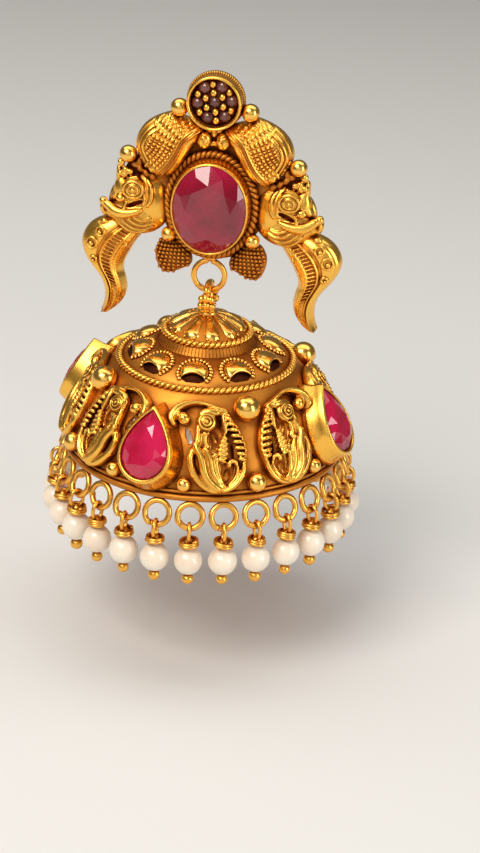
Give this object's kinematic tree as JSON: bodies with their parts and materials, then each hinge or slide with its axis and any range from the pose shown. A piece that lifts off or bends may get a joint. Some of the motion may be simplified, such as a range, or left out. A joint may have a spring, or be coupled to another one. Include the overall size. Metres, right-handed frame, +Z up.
{
  "type": "jhumka earring",
  "caption": "Jhumka drop earring: a stud plate with an oval stone between two makaras, and a hollow bell with peacocks, pear stones and a pearl fringe.",
  "frame": {"origin": "where the ear post leaves the back of the stud plate, which is where the earring sits on the ear lobe", "axes": "+Z up, -Y out of the decorated front, +Y along the post through the ear, +X to the viewer's right when seen from the front"},
  "size_m": [0.0344, 0.0344, 0.0496],
  "materials": {
    "antique_gold": "satin antique gold with red-brown patina in the recesses",
    "plain_gold": "plain polished gold",
    "wire_gold": "drawn gold wire, lightly worn",
    "ruby": "faceted deep crimson stone",
    "pear_ruby": "faceted magenta-red stone",
    "cluster_stone": "small brown-mauve stones",
    "pearl": "cream pearl with a soft lustre"
  },
  "bodies": {
    "stud": {"stud_frame": "antique_gold", "centre_ruby": "ruby", "cluster_stones": "cluster_stone", "ear_post": "plain_gold"},
    "bell": {"bell": "antique_gold", "bell_ruby_1": "pear_ruby", "bell_ruby_2": "pear_ruby", "bell_ruby_3": "pear_ruby", "bell_ruby_4": "pear_ruby", "pearl_01": "pearl", "pearl_02": "pearl", "pearl_03": "pearl", "pearl_04": "pearl", "pearl_05": "pearl", "pearl_06": "pearl", "pearl_07": "pearl", "pearl_08": "pearl", "pearl_09": "pearl", "pearl_10": "pearl", "pearl_11": "pearl", "pearl_12": "pearl", "pearl_13": "pearl", "pearl_14": "pearl", "pearl_15": "pearl", "pearl_16": "pearl", "pearl_17": "pearl", "pearl_18": "pearl", "pearl_19": "pearl", "pearl_20": "pearl", "pearl_21": "pearl", "pearl_22": "pearl", "pearl_23": "pearl", "pearl_24": "pearl", "pearl_25": "pearl", "pearl_26": "pearl", "pearl_27": "pearl", "pearl_28": "pearl", "head_pins_1": "wire_gold", "head_pins_2": "wire_gold", "head_pins_3": "wire_gold", "head_pins_4": "wire_gold"}
  },
  "joints": [
    {"name": "bell_swing", "type": "hinge", "parent": "stud", "child": "bell", "pos_m": [0, -0.001, -0.01335], "axis": [1, 0, 0], "range_deg": [-45, 45]}
  ]
}
